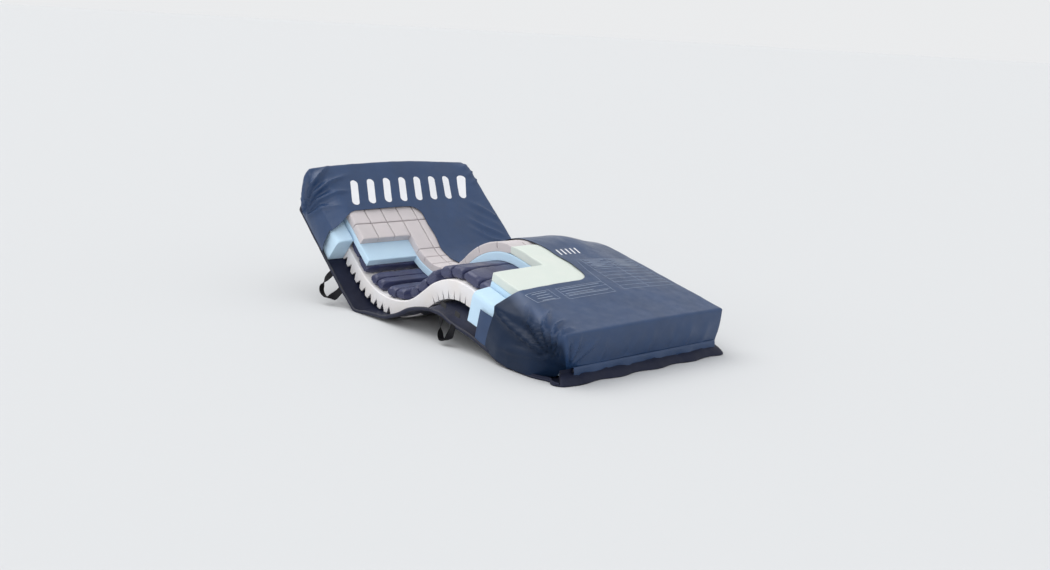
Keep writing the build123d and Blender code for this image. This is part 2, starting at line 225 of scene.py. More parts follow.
def thicken(co, faces, uv, normals, t):
    """Gives a surface an inner face t below it, and rims along its open edges."""
    n = len(co)
    edges = set()
    for face in faces:
        face = [int(v) for v in face]
        edges.update(zip(face, face[1:] + face[:1]))
    rims = [[b, a, a + n, b + n] for a, b in sorted(edges) if (b, a) not in edges]
    inner = [[int(v) + n for v in reversed(list(face))] for face in faces]
    both = np.concatenate([co, co - t * normals])
    faces = [*map(list, faces), *inner, *rims]
    return both, faces, np.concatenate([uv, uv]), np.concatenate([normals, -normals])


def emit(name, s, co, faces, uv, mat, finish=None, thickness=0.0):
    """Makes a layer's objects, one per span, with shading that runs on across the cuts between them.

    A span replaces the layer's CAD nodes of its two sections, or the layer's one node.
    """
    normals = vertex_normals(co, faces)
    middle = np.array([s[np.array(f)].mean() for f in faces])
    edges = [-1e9, *middles, 1e9]
    for k in range(5):
        chosen = np.nonzero((middle > edges[k]) & (middle <= edges[k + 1]))[0]
        if not len(chosen):
            continue
        piece = part_of(co, faces, uv, normals, chosen)
        if thickness:
            piece = thicken(*piece, thickness)
        obj = new_object(f"{name}_{k + 1}", *piece, mat)
        bend_with(obj, k)
        nodes = [n for n in (f"{name}_{BODIES[k]}", f"{name}_{BODIES[k + 1]}", name) if n in frame["nodes"]]
        if nodes:
            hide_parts(*nodes)
        if finish:
            finish(obj)


def lines(low, high, step, features=(), offsets=(0.0,)):
    """Grid lines from low to high, with close lines round each feature."""
    base = np.linspace(low, high, max(2, int(round((high - low) / step)) + 1))
    close = np.array([f + o for f in features for o in offsets])
    close = close[(close >= low - 1e-9) & (close <= high + 1e-9)]
    gap = min([abs(o) for o in offsets if o] + [step]) * 0.5
    kept = [b for b in base if not len(close) or np.min(np.abs(close - b)) > max(gap, step * 0.25)]
    allv = np.concatenate([kept, close, [low, high]])
    allv = np.unique(np.round(allv, 6))
    return allv[np.concatenate([[True], np.diff(allv) > 1e-5])]


def rounding(d, r):
    """How far an edge rounded with radius r has dropped at distance d inside it."""
    u = np.clip(r - d, 0, r)
    return r - np.sqrt(np.maximum(r * r - u * u, 0))


def noise(u, v, seed, octaves=3):
    """Smooth repeatable unevenness, about -1 to 1: sums of plane waves in seeded directions."""
    rng = np.random.default_rng(seed)
    total = np.zeros(np.broadcast(u, v).shape)
    weight = 0.0
    for octave in range(octaves):
        for _ in range(5):
            a, phase = rng.uniform(0, 2 * math.pi, 2)
            f = 2 * math.pi * 2**octave * rng.uniform(0.7, 1.3)
            total = total + 0.6**octave * np.sin(f * (u * math.cos(a) + v * math.sin(a)) + phase)
        weight += 5 * 0.6**octave
    return total / (0.45 * weight)


# ---------------------------------------------------------------- the outline seen from above

def rounded_box(s, y, s0, s1, y0, y1, r):
    """Signed distance to a rounded rectangle, positive inside."""
    qx = np.abs(s - (s0 + s1) / 2) - (s1 - s0) / 2 + r
    qy = np.abs(y - (y0 + y1) / 2) - (y1 - y0) / 2 + r
    outside = np.hypot(np.maximum(qx, 0), np.maximum(qy, 0)) + np.minimum(np.maximum(qx, qy), 0)
    return r - outside


NEAR_R, FAR_R = 0.022, 0.014  # corner radii on the two sides


def plan(s, y):
    """Distance inside the mattress's outline seen from above."""
    return rounded_box(s, y, 0.0, LENGTH, -HALF, HALF, np.where(y < 0, NEAR_R, FAR_R))


def outward(s, y):
    """Unit vector in the (s, y) plane that points out of the outline."""
    e = 1e-4
    gs = (plan(s - e, y) - plan(s + e, y)) / (2 * e)
    gy = (plan(s, y - e) - plan(s, y + e)) / (2 * e)
    n = np.maximum(np.hypot(gs, gy), 1e-9)
    return gs / n, gy / n


def within_outline(s, y, margin):
    """Moves points near the outline's corners that are outside it, or nearer to it than margin, straight in.
    """
    ns, ny = outward(s, y)
    push = np.maximum(margin - plan(s, y), 0)
    corner = (np.minimum(s, LENGTH - s) < NEAR_R) & (HALF - np.abs(y) < NEAR_R)
    push = np.where(corner, push, 0)
    return s - ns * push, y - ny * push


def pinched(s, y, h):
    """Draws the foot's near corner in towards its gathered lower end."""
    depth = np.clip((SURFACE_TOP - h) / (SURFACE_TOP - ZIP_H), 0, 1) ** 2
    pull = np.exp(-((LENGTH - s) ** 2 + (y + HALF) ** 2) / 0.07**2) * depth
    return s - 0.025 * pull, y + 0.050 * pull


# ---------------------------------------------------------------- foam layers

def box_distance(s, y, boxes):
    """Distance inside a union of rectangles (s0, s1, y0, y1), negative outside."""
    best = np.full(np.broadcast(s, y).shape, -1e9)
    for s0, s1, y0, y1 in boxes:
        d = np.minimum(np.minimum(s - s0, s1 - s), np.minimum(y - y0, y1 - y))
        best = np.maximum(best, d)
    return best


WALL_ROWS = 4


def foam(name, s_lines, y_lines, boxes, top, bottom, mat, radius=0.005):
    """A foam layer over a union of rectangles, with heights top and bottom given as functions of (s, y)."""
    S, Y = np.meshgrid(s_lines, y_lines, indexing="ij")
    d = np.maximum(box_distance(S, Y, boxes), 0)
    top_h = top(S, Y) - rounding(d, radius)
    low_h = bottom(S, Y) + rounding(d, radius * 0.6)
    mid_s, mid_y = (S[:-1, :-1] + S[1:, 1:]) / 2, (Y[:-1, :-1] + Y[1:, 1:]) / 2
    cell = box_distance(mid_s, mid_y, boxes) > 0
    ni, nj = S.shape
    ids = np.full((WALL_ROWS + 1, ni, nj), -1)
    s_all, y_all, h_all = [], [], []

    def vertex(level, i, j):
        if ids[level, i, j] < 0:
            ids[level, i, j] = len(s_all)
            t = level / WALL_ROWS
            s_all.append(S[i, j])
            y_all.append(Y[i, j])
            h_all.append(top_h[i, j] * (1 - t) + low_h[i, j] * t)
        return ids[level, i, j]

    faces = []
    for i in range(ni - 1):
        for j in range(nj - 1):
            if not cell[i, j]:
                continue
            ring = [(i, j), (i + 1, j), (i + 1, j + 1), (i, j + 1)]
            faces.append([vertex(0, *c) for c in ring])
            faces.append([vertex(WALL_ROWS, *c) for c in reversed(ring)])
            beside = [(i, j - 1), (i + 1, j), (i, j + 1), (i - 1, j)]
            for k, (bi, bj) in enumerate(beside):
                if 0 <= bi < ni - 1 and 0 <= bj < nj - 1 and cell[bi, bj]:
                    continue
                a, b = ring[k], ring[(k + 1) % 4]
                for row in range(WALL_ROWS):
                    faces.append([vertex(row, *b), vertex(row, *a), vertex(row + 1, *a), vertex(row + 1, *b)])
    s_all, y_all, h_all = np.array(s_all), np.array(y_all), np.array(h_all)
    uneven = 0.0012 * noise(s_all * 6, y_all * 6 + h_all * 9, 7)
    co = place(*pinched(*within_outline(s_all, y_all + uneven, 0.007), h_all), h_all)
    uv = np.stack([s_all, y_all + h_all], -1)
    emit(name, s_all, co, faces, uv, mat, lambda o: o)


# ---------------------------------------------------------------- fitted covers

def clip_grid(us, vs, keep):
    """The cells of a grid where keep(u, v) is positive, cut along keep = 0."""
    U, V = np.meshgrid(us, vs, indexing="ij")
    f = keep(U, V)
    f[np.abs(f) < 1e-6] = 0
    inside = f >= 0
    points, faces, seen = [], [], {}

    def corner(i, j):
        if (i, j) not in seen:
            seen[i, j] = len(points)
            points.append((U[i, j], V[i, j]))
        return seen[i, j]

    def crossing(a, b):
        key = (min(a, b), max(a, b))
        if key not in seen:
            (i, j), (k, l) = key
            low, high = 0.0, 1.0
            if not inside[key[0]]:
                low, high = 1.0, 0.0
            for _ in range(12):
                t = (low + high) / 2
                u, v = U[i, j] + t * (U[k, l] - U[i, j]), V[i, j] + t * (V[k, l] - V[i, j])
                value = keep(np.array(u), np.array(v))
                low, high = (t, high) if value >= 0 else (low, t)
            seen[key] = len(points)
            points.append((U[i, j] + low * (U[k, l] - U[i, j]), V[i, j] + low * (V[k, l] - V[i, j])))
        return seen[key]

    for i in range(len(us) - 1):
        for j in range(len(vs) - 1):
            ring = [(i, j), (i + 1, j), (i + 1, j + 1), (i, j + 1)]
            state = [inside[c] for c in ring]
            if not any(state):
                continue
            if all(state):
                faces.append([corner(*c) for c in ring])
                continue
            polygon = []
            for k in range(4):
                a, b = ring[k], ring[(k + 1) % 4]
                if inside[a]:
                    polygon.append(corner(*a))
                if inside[a] != inside[b] and f[a if inside[a] else b] > 0:
                    polygon.append(crossing(a, b))
            polygon = list(dict.fromkeys(polygon))
            if len(polygon) > 2:
                faces.append(polygon)
    return np.array(points), faces


def shell(us, vs, keep, height, side_rows, side):
    """A fitted cover: its flat panel is a clipped grid, and its sides hang or stand from the outline.

    side(s, y, ns, ny, t) gives (s, y, h) of a side's point at t from 0 at the panel to 1 at its hem.
    Returns s, y, h, faces and the unfolded coordinates of each vertex.
    """
    points, faces = clip_grid(us, vs, keep)
    s, y = points[:, 0], points[:, 1]
    h = height(s, y)
    count = {}
    for face in faces:
        for a, b in zip(face, face[1:] + face[:1]):
            count[a, b] = count.get((a, b), 0) + 1
    border = [e for e in count if (e[1], e[0]) not in count]
    rim = np.abs(plan(s, y)) < 2e-5
    hanging = [(a, b) for a, b in border if rim[a] and rim[b]]
    ids = np.array(sorted({a for e in hanging for a in e}))
    where = {a: k for k, a in enumerate(ids)}
    ns, ny = outward(s[ids], y[ids])
    grid = [ids]
    rows = [np.stack([s, y, h, s, y])]
    total = len(s)
    for row in range(1, side_rows + 1):
        side_s, side_y, side_h = side(s[ids], y[ids], ns, ny, row / side_rows, h[ids])
        drop = np.abs(side_h - h[ids])
        rows.append(np.stack([side_s, side_y, side_h, s[ids] + ns * drop, y[ids] + ny * drop]))
        grid.append(np.arange(total, total + len(ids)))
        total += len(ids)
    for a, b in hanging:
        i, j = where[a], where[b]
        for row in range(side_rows):
            faces.append([grid[row][j], grid[row][i], grid[row + 1][i], grid[row + 1][j]])
    s, y, h, u, v = np.concatenate(rows, axis=1)
    return s, y, h, faces, u, v


def folds(u, v, ridges):
    """Height of cloth folds: each ridge is (u0, v0, u1, v1, width, height), fading towards its ends."""
    total = np.zeros_like(u)
    for u0, v0, u1, v1, width, height in ridges:
        du, dv = u1 - u0, v1 - v0
        length = math.hypot(du, dv)
        t = ((u - u0) * du + (v - v0) * dv) / length**2
        across = ((u - u0) * dv - (v - v0) * du) / length
        fade = smooth(t / 0.18) * smooth((1 - t) / 0.45)
        widen = width * (0.45 + 0.55 * np.clip(t, 0, 1))
        total += height * fade * np.exp(-(np.abs(across / widen) ** 1.4))
    return total


# ---------------------------------------------------------------- materials

def shader(name, color, roughness, sheen=0.0):
    """A principled material; returns it with its node tree and shader node."""
    mat = bpy.data.materials.new(name)
    mat.use_nodes = True
    tree = mat.node_tree
    principled = tree.nodes["Principled BSDF"]
    principled.inputs["Base Color"].default_value = (*color, 1)
    principled.inputs["Roughness"].default_value = roughness
    principled.inputs["Sheen Weight"].default_value = sheen
    mat.diffuse_color = (*color, 1)
    return mat, tree, principled


def add_node(tree, kind, **inputs):
    """A shader node; each input is a value, or another node's output to link."""
    node = tree.nodes.new("ShaderNode" + kind)
    for name, value in inputs.items():
        socket = node.inputs[name.replace("_", " ")]
        if isinstance(value, bpy.types.NodeSocket):
            tree.links.new(value, socket)
        else:
            socket.default_value = value
    return node


def coordinates(tree, scale, uv=True):
    source = tree.nodes.new("ShaderNodeTexCoord").outputs["UV" if uv else "Object"]
    scale = scale if hasattr(scale, "__len__") else (scale,) * 3
    return add_node(tree, "Mapping", Scale=scale, Vector=source).outputs["Vector"]


def noise_texture(tree, scale, detail, uv, roughness=0.55):
    vector = coordinates(tree, scale, uv)
    look = {"Scale": 1.0, "Detail": detail, "Roughness": roughness}
    return add_node(tree, "TexNoise", Vector=vector, **look).outputs["Fac"]


def ramp(tree, factor, low, high, colors):
    node = tree.nodes.new("ShaderNodeValToRGB")
    node.color_ramp.elements[0].position, node.color_ramp.elements[1].position = low, high
    node.color_ramp.elements[0].color = (*colors[0], 1)
    node.color_ramp.elements[1].color = (*colors[1], 1)
    tree.links.new(factor, node.inputs["Fac"])
    return node.outputs["Color"]


def shade(color, factor):
    return tuple(min(1.0, c * factor) for c in color)


def bump(tree, principled, heights):
    """Chains bump maps: heights is a list of (output, strength, distance)."""
    previous = None
    for output, strength, distance in heights:
        node = add_node(tree, "Bump", Strength=strength, Distance=distance, Height=output)
        if previous:
            tree.links.new(previous, node.inputs["Normal"])
        previous = node.outputs["Normal"]
    tree.links.new(previous, principled.inputs["Normal"])


def combined(tree, operation, a, b):
    node = tree.nodes.new("ShaderNodeMath")
    node.operation = operation
    tree.links.new(a, node.inputs[0])
    tree.links.new(b, node.inputs[1])
    return node.outputs[0]


def weave(tree, pitch, uv):
    """Crossed threads of that pitch, in metres."""
    waves = []
    for direction in ("X", "Y"):
        node = add_node(tree, "TexWave", Scale=0.314 / pitch, Vector=coordinates(tree, 1.0, uv))
        node.wave_type = "BANDS"
        node.bands_direction = direction
        waves.append(node.outputs["Fac"])
    return combined(tree, "MULTIPLY", *waves)


def cloth(name, color, roughness, sheen, pitch=0.0011, mottle=0.12, crease=0.25, uv=True):
    """Coated fabric: fine weave, faint large creases and slow changes of tone."""
    mat, tree, principled = shader(name, color, roughness, sheen)
    tone = noise_texture(tree, 7.0, 4.0, uv)
    tones = shade(color, 1 - mottle), shade(color, 1 + mottle)
    tree.links.new(ramp(tree, tone, 0.3, 0.7, tones), principled.inputs["Base Color"])
    levels = (roughness - 0.06,) * 3, (roughness + 0.08,) * 3
    gloss = ramp(tree, noise_texture(tree, 23.0, 3.0, uv), 0.3, 0.7, levels)
    tree.links.new(gloss, principled.inputs["Roughness"])
    creases = noise_texture(tree, (16.0, 11.0, 16.0), 5.0, uv, 0.6)
    bump(tree, principled, [(creases, crease, 0.004), (weave(tree, pitch, uv), 0.22, 0.0003)])
    return mat


def foam_material(name, color, tint, uv=True):
    """Open-cell foam: pores, a slightly uneven cut and faint yellowing."""
    mat, tree, principled = shader(name, color, 0.92, 0.15)
    tone = noise_texture(tree, 9.0, 5.0, uv)
    tree.links.new(ramp(tree, tone, 0.32, 0.75, (color, tint)), principled.inputs["Base Color"])
    pores = add_node(tree, "TexVoronoi", Scale=1.0, Vector=coordinates(tree, 900.0, uv)).outputs["Distance"]
    cut = noise_texture(tree, 45.0, 4.0, uv)
    bump(tree, principled, [(cut, 0.25, 0.0015), (pores, 0.3, 0.0006)])
    principled.inputs["Subsurface Weight"].default_value = 0.08
    principled.inputs["Subsurface Radius"].default_value = (0.01, 0.01, 0.01)
    principled.inputs["Subsurface Scale"].default_value = 0.4
    return mat


M = {
    "cover": cloth("cover_fabric", (0.015, 0.044, 0.118), 0.38, 0.03),
    "base": cloth("base_fabric", (0.009, 0.012, 0.032), 0.50, 0.02, 0.0016, 0.18, 0.45),
    "cell": cloth("cell_fabric", (0.034, 0.040, 0.100), 0.33, 0.05, 0.0009, 0.25, 1.0),
    "white": foam_material("foam_white", (0.82, 0.81, 0.83), (0.80, 0.76, 0.74)),
    "blue": foam_material("foam_blue", (0.50, 0.68, 0.84), (0.54, 0.72, 0.86)),
    "grey": foam_material("foam_grey", (0.56, 0.52, 0.53), (0.60, 0.55, 0.56)),
    "mint": foam_material("foam_mint", (0.62, 0.68, 0.63), (0.66, 0.70, 0.65)),
    "block": foam_material("foam_block", (0.50, 0.68, 0.84), (0.54, 0.72, 0.86), uv=False),
    "web": cloth("webbing", (0.006, 0.006, 0.009), 0.7, 0.1, 0.0022, 0.2, 0.1, uv=False),
    "web_strap": cloth("webbing_strap", (0.003, 0.003, 0.005), 0.75, 0.03, 0.0022, 0.2, 0.1),
    "trim": cloth("zip_trim", (0.013, 0.015, 0.030), 0.55, 0.1, 0.0018, 0.2, 0.1),
    "print": cloth("print_white", (0.80, 0.81, 0.84), 0.5, 0.0, 0.0011, 0.03, 0.1),
    "print_grey": cloth("print_grey", (0.34, 0.40, 0.50), 0.55, 0.0, 0.0011, 0.05, 0.1),
}


def deepen_near_side(mat):
    """The near side of the foot end, below the ridge that runs to the gathered corner, is in deep shade."""
    tree = mat.node_tree
    principled = tree.nodes["Principled BSDF"]
    source = tree.nodes.new("ShaderNodeTexCoord")
    split = add_node(tree, "SeparateXYZ", Vector=source.outputs["UV"]).outputs

    def ranged(value, low, high, to_low, to_high):
        limits = {"From_Min": low, "From_Max": high, "To_Min": to_low, "To_Max": to_high}
        return add_node(tree, "MapRange", Value=value, **limits).outputs["Result"]

    ridge = ranged(split["X"], 1.62, 1.93, -0.365, -0.445)
    below = ranged(combined(tree, "SUBTRACT", ridge, split["Y"]), 0.0, 0.035, 0.0, 1.0)
    amount = combined(tree, "MULTIPLY", below, ranged(split["X"], 1.30, 1.35, 0.0, 1.0))
    color = principled.inputs["Base Color"].links[0].from_socket
    tone = add_node(tree, "HueSaturation", Color=color, Value=ranged(amount, 0.0, 1.0, 1.0, 0.36))
    tree.links.new(ranged(amount, 0.0, 1.0, 0.5, 0.16), principled.inputs["Specular IOR Level"])
    tree.links.new(tone.outputs["Color"], principled.inputs["Base Color"])


deepen_near_side(M["cover"])
for dull in ("base", "web_strap"):
    M[dull].node_tree.nodes["Principled BSDF"].inputs["Specular IOR Level"].default_value = 0.25
M["metal"], _, metal_shader = shader("zip_metal", (0.10, 0.10, 0.11), 0.32)
metal_shader.inputs["Metallic"].default_value = 0.8


# ---------------------------------------------------------------- foam layers of this mattress

INSET = 0.003
FOOT_END = LENGTH - INSET
FULL = (INSET, FOOT_END)
GREY_CUT, LEG_CUT = 0.428, S_CALF + 0.173  # edges of the window in the surface foam
LAYER_GAP = 0.0003
EDGE = (-0.006, -0.0035, -0.0015, -0.0005, 0.0, 0.0005, 0.0015, 0.0035, 0.006)
core_coarse = lines(-CORE, CORE, 0.06, (-CORE, CORE), EDGE)
core_stepped = lines(-CORE, CORE, 0.03, (-CORE, STRIP_Y, CORE), EDGE)


def level(value):
    return lambda s, y: np.full(np.broadcast(s, y).shape, float(value))


# Base foam, with slots across its underside where it bends
NOTCH_PITCH = 0.045
notches = [(0.335 + NOTCH_PITCH * (i + 0.5), 0.027) for i in range(10)]
notches += [(station[4] - 0.075 + 0.040 * (i + 0.5), 0.010) for i in range(7)]
NOTCH_H = 0.034


def notched(s, y):
    h = np.full(np.broadcast(s, y).shape, 0.0033)
    for centre, mouth in notches:
        h = np.maximum(h, 0.0033 + NOTCH_H * np.clip(1 - np.abs(s - centre) / (mouth / 2), 0, 1))
    return h


tips = [c for c, _ in notches]
mouths = [c + side * m / 2 for c, m in notches for side in (-1, 1)]
white_s = lines(*FULL, 0.018, tips + mouths + middles)
foam(
    "base_foam", white_s, core_coarse, [(*FULL, -CORE, CORE)],
    lambda s, y: BASE_TOP + 0.0015 * noise(s * 4, y * 4, 3), notched, M["white"], 0.004,
)

# Support foam, cut back from the window
BLUE_CUT = 0.530
blue_boxes = [(*FULL, STRIP_Y, CORE), (INSET, BLUE_CUT, -CORE, CORE), (LEG_CUT, FOOT_END, -CORE, CORE)]
foam(
    "support_foam", lines(*FULL, 0.02, [BLUE_CUT, LEG_CUT, *middles], EDGE), core_stepped, blue_boxes,
    level(SUPPORT_TOP), level(CELL_TOP), M["blue"],
)

# Surface foam, with its grid of cuts
grid_y = [-CORE + GRID * i for i in range(1, 8)]
grid_s = [GREY_CUT + GRID * i for i in range(-4, 10) if GREY_CUT + GRID * i < S_CALF - 0.03 and i != 0]
CUT_HALF = 0.0021
GROOVE_SIDE = (CUT_HALF, CUT_HALF + 0.00005, 0.003, 0.0045, 0.0065, 0.010)
GROOVE = (*[-o for o in reversed(GROOVE_SIDE)], *GROOVE_SIDE)


def groove(x, centres):
    """Depth of the cuts at x, with rounded lips."""
    gap = np.min(np.abs(x[..., None] - np.array(centres)), axis=-1)
    return np.where(gap <= CUT_HALF + 0.00002, CUT_D, rounding(gap - CUT_HALF, 0.005) * 0.7)


def surface(s, y):
    cut = np.maximum(groove(s, grid_s), groove(y, grid_y))
    return SURFACE_TOP - cut + 0.0012 * noise(s * 5, y * 5, 5)


GREY_END = S_CALF - LAYER_GAP  # the green heel foam takes over from here
grey_boxes = [(INSET, GREY_END, STRIP_Y, CORE), (INSET, GREY_CUT, -CORE, CORE)]
grey_marks = [GREY_CUT, *grid_s, *[c for c in middles if c < S_CALF - 0.01]]
foam(
    "surface_foam", lines(INSET, GREY_END, 0.02, grey_marks, GROOVE),
    lines(-CORE, CORE, 0.02, (-CORE, STRIP_Y, CORE, *grid_y), GROOVE), grey_boxes,
    surface, level(SUPPORT_TOP + LAYER_GAP), M["grey"], 0.007,
)

# Heel foam
HEEL_START = S_CALF + LAYER_GAP
foam(
    "heel_foam", lines(HEEL_START, FOOT_END, 0.02, [LEG_CUT], EDGE), core_stepped,
    [(HEEL_START, FOOT_END, STRIP_Y, CORE), (LEG_CUT, FOOT_END, -CORE, CORE)],
    lambda s, y: SURFACE_TOP + 0.0012 * noise(s * 5, y * 5, 6), level(SUPPORT_TOP + LAYER_GAP),
    M["mint"], 0.006,
)

# Block that closes the row of air cells at the head
BLOCK_END = 0.123
foam(
    "head_end_block", lines(INSET, BLOCK_END, 0.03, (), EDGE), core_coarse, [(INSET, BLOCK_END, -CORE, CORE)],
    level(CELL_TOP - 0.0005), level(BASE_TOP + 0.0008), M["blue"],
)

# Side bolsters: the far one runs the whole length, the near one is cut away at the window
BOLSTER_IN, BOLSTER_OUT = CORE + 0.004, HALF - 0.009


def bolster_top(s, y):
    t = (np.abs(y) - BOLSTER_IN) / (BOLSTER_OUT - BOLSTER_IN)
    return 0.136 - 0.008 * t - rounding(BOLSTER_OUT - np.abs(y), 0.02)


def bolster(name, s0, s1, side):
    y0, y1 = sorted((side * BOLSTER_IN, side * BOLSTER_OUT))
    foam(
        name, lines(s0, s1, 0.02, [s0, s1, *middles], EDGE),
        lines(y0, y1, 0.02, (y0, y1), (*EDGE, 0.010 * side, -0.010 * side)), [(s0, s1, y0, y1)],
        bolster_top, level(0.0035), M["blue"], 0.007,
    )


bolster("far_bolster", *FULL, 1)
bolster("near_bolster_head", INSET, 0.385, -1)
bolster("near_bolster_foot", LEG_CUT, FOOT_END, -1)


# ---------------------------------------------------------------- air cells

def air_cell(name, body, s_mid, length, seed):
    """A soft tube across the mattress: a flattened round, puckered where its ends are sealed."""
    rings, around = 96, 40
    reach = CORE - 0.004 - 0.010 * abs(math.sin(seed * 1.7))
    near_ys = -reach + 0.10 * (np.linspace(0, 1, 34) ** 1.3)
    ys = np.concatenate([near_ys, np.linspace(-reach + 0.11, reach, rings - 34)])
    phi = np.linspace(0, 2 * math.pi, around, endpoint=False)
    Y, PHI = np.meshgrid(ys, phi, indexing="ij")
    end = np.clip((reach - np.abs(Y)) / 0.05, 0, 1)
    full = 0.30 + 0.70 * np.sqrt(1 - (1 - end) ** 2)
    ripple = 0.05 * np.cos(PHI * 9 + seed) * (1 - end) + 0.07 * noise(Y * 9 + seed, PHI * 0.35, seed) * end
    crumple = 0.11 * np.abs(noise(Y * 15 + seed, PHI * 0.8, seed + 50))
    ripple = (ripple + 0.5 * crumple) * np.sin(PHI / 2) ** 0.3
    half_s, half_h = length * 0.54, 0.029
    c, q = np.cos(PHI), np.sin(PHI)
    across = np.sign(c) * np.abs(c) ** 0.72 * half_s * (0.96 + ripple)
    lift = np.sign(q) * np.abs(q) ** 0.75 * half_h * (full + ripple)
    middle_h = (BASE_TOP + CELL_TOP) / 2 + 0.001
    S = s_mid + across * (0.86 + 0.14 * end) + 0.005 * noise(Y * 3 + seed, 0 * Y, seed + 9)
    H = np.clip(middle_h + lift, BASE_TOP + 0.0004, 0.1215)
    shown = 1 - smooth((Y - (STRIP_Y - 0.02)) / 0.02)
    H = np.where(H > CELL_TOP - 0.0008, CELL_TOP - 0.0008 + (H - CELL_TOP + 0.0008) * shown, H)
    co = place(S, Y, H).reshape(-1, 3)
    uv = np.stack([PHI * half_s * 0.7, Y], -1).reshape(-1, 2)
    faces = capped(tube_faces(len(ys), around), len(ys), around)
    obj = new_object(name, co, faces, uv, vertex_normals(co, faces), M["cell"])
    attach(obj, body)
    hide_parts(f"air_cells_{body}")


CELLS = {"back": (5, 0.126, 0.541), "hip": (2, 0.583, 0.687), "seat": (2, 0.726, 0.862),
         "thigh": (3, 0.918, 1.124), "knee": (2, 1.150, 1.273), "calf": (6, 1.279, LENGTH - 0.156)}
for body, (count, low, high) in CELLS.items():
    pitch = (high - low) / count
    for i in range(count):
        air_cell(f"air_cell_{body}_{i + 1}", body, low + pitch * (i + 0.5), pitch, 11 * len(body) + 7 * i)


# ---------------------------------------------------------------- top cover

TOP_H = SURFACE_TOP + 0.0025
WINDOW = (0.267, S_CALF + 0.345)
HEAD_HEM = 0.022

# Folds in the top cover, in its unfolded coordinates: start, end, width, height
gather = (LENGTH - 0.012, -HALF - 0.105)
hem_corner = (0.150, -HALF - 0.105)
face_gather = (LENGTH + 0.125, -HALF + 0.030)


def fan(centre, spokes):
    """Folds that spread from centre: spokes are (angle from the head's direction, reach, width, height)."""
    s, y = centre
    return [(s, y, s - reach * math.cos(a), y + reach * math.sin(a), w, h) for a, reach, w, h in spokes]


FOLDS = fan(hem_corner, [
    (0.10, 0.15, 0.009, 0.012), (0.36, 0.17, 0.009, -0.009), (0.58, 0.21, 0.009, 0.013),
    (0.78, 0.22, 0.009, -0.010), (0.96, 0.29, 0.009, 0.016), (1.12, 0.24, 0.009, -0.011),
    (1.28, 0.32, 0.009, 0.015), (1.44, 0.24, 0.009, -0.010), (1.60, 0.28, 0.009, 0.014),
    (1.78, 0.20, 0.009, -0.009), (1.98, 0.22, 0.009, 0.012),
])
FOLDS += fan(gather, [
    (-0.05, 0.34, 0.010, 0.012), (0.12, 0.36, 0.009, -0.011), (0.27, 0.48, 0.010, 0.024),
    (0.41, 0.30, 0.008, -0.015), (0.55, 0.33, 0.008, 0.024), (0.69, 0.24, 0.007, -0.015),
    (0.83, 0.29, 0.008, 0.024), (0.98, 0.21, 0.007, -0.015), (1.12, 0.24, 0.008, 0.022),
    (1.27, 0.17, 0.007, -0.013), (1.42, 0.21, 0.008, 0.018),
])
FOLDS += fan(face_gather, [
    (-0.15, 0.12, 0.009, 0.011), (0.12, 0.13, 0.009, -0.008), (0.36, 0.15, 0.009, 0.011),
    (0.66, 0.14, 0.009, -0.007), (0.95, 0.20, 0.009, 0.008),
])
FOLDS += [(0.40 + 0.05 * i, 0.43 - 0.01 * i, 0.24 + 0.05 * i, 0.33 - 0.03 * i, 0.012, h)
          for i, h in enumerate((0.010, 0.004, 0.010, 0.007))]
FOLDS += [(0.02 + 0.05 * i, 0.45, 0.07 + 0.05 * i, 0.38, 0.010, 0.006) for i in range(3)]
FOLDS += [(LENGTH + 0.135, y, LENGTH + 0.004, y + 0.02, 0.024, h) for y, h in (
    (-0.24, 0.004), (-0.10, -0.004), (0.02, 0.004), (0.15, -0.003), (0.24, 0.004), (0.34, 0.003),
)]


def shoulder_width(s, y):
    """How far in the top starts to fall towards its edges; the far side and the foot corners are square."""
    near = 0.088 * smooth((LENGTH - 0.015 - s) / 0.34) - 0.068 * smooth((0.2 - s) / 0.2)
    return np.where(y < 0, near, -0.012)


def cover_height(s, y):
    side_d, end_d = HALF - np.abs(y), np.minimum(s, LENGTH - s)
    soft = 0.008
    slope = (TOP_H - SHOULDER_H) / 0.088
    side_drop = slope * soft * np.log1p(np.exp(np.clip((shoulder_width(s, y) - side_d) / soft, -30, 30)))
    side_drop = side_drop + rounding(side_d, 0.010)
    drop = np.hypot(side_drop, rounding(end_d, 0.014))
    crown = 0.024 * (1 - (y / 0.43) ** 2) * np.exp(-((s / 0.22) ** 2))
    return TOP_H + crown + 0.003 * (1 - (y / HALF) ** 2) - drop


BULGE_OUT, BULGE_UP = 0.026, 0.013


def far_bulge(s, y):
    """Share, 0 to 1, of the puffing out and up that the far edge of the back has here."""
    return smooth((y - 0.32) / 0.10) * smooth((s + 0.02) / 0.08) * smooth((0.66 - s) / 0.14)


def cover_puff(u, v):
    """How far the cloth stands off its even shape, at unfolded coordinates."""
    puff = folds(u, v, FOLDS) + 0.0012 * noise(u * 2.2, v * 2.2, 21) + 0.0005 * noise(u * 9, v * 9, 22, 2)
    held_up = (np.abs(v) < HALF - 0.06) & (u > 0.03) & (u < LENGTH)
    return np.where(held_up, np.maximum(puff, -0.0014), puff)


def window(s, y):
    """Distance outside the window that is cut in the cover, with a slightly wandering edge."""
    edge = COVER_Y + 0.003 * np.sin(s * 19) + 0.002 * np.sin(s * 43 + 1)
    near = smooth((-0.31 - y) / 0.13)
    along_edge = s - np.where(s < 0.9, 0.055, -0.025) * near
    radius = np.where(s < 0.9, 0.055, 0.085)
    return -rounded_box(along_edge, y - edge + COVER_Y, *WINDOW, -2.0, COVER_Y, radius)


